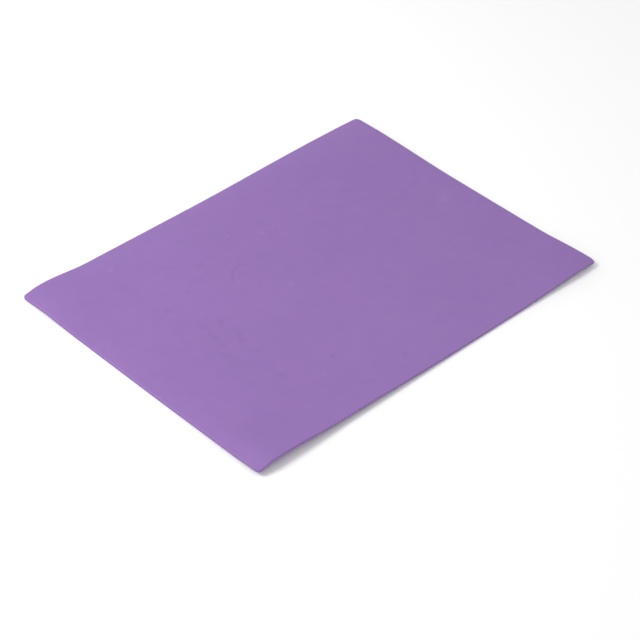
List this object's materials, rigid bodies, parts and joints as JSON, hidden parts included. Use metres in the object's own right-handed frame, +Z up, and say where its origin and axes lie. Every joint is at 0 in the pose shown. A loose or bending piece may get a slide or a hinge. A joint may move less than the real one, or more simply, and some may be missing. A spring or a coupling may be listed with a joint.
{
  "type": "craft foam sheet",
  "caption": "Thin rectangular sheet of matt purple closed-cell foam for cutting and gluing, lying flat with low swells near its corners.",
  "frame": {"origin": "on the floor, under the middle of the sheet", "axes": "+X along the long sides, +Y along the short ends, +Z up through the thickness"},
  "size_m": [0.3053, 0.2287, 0.0069],
  "materials": {
    "foam": "matt closed-cell foam with fine pores and a faint mottle"
  },
  "bodies": {
    "root": {"foam_sheet": "foam"}
  },
  "joints": []
}
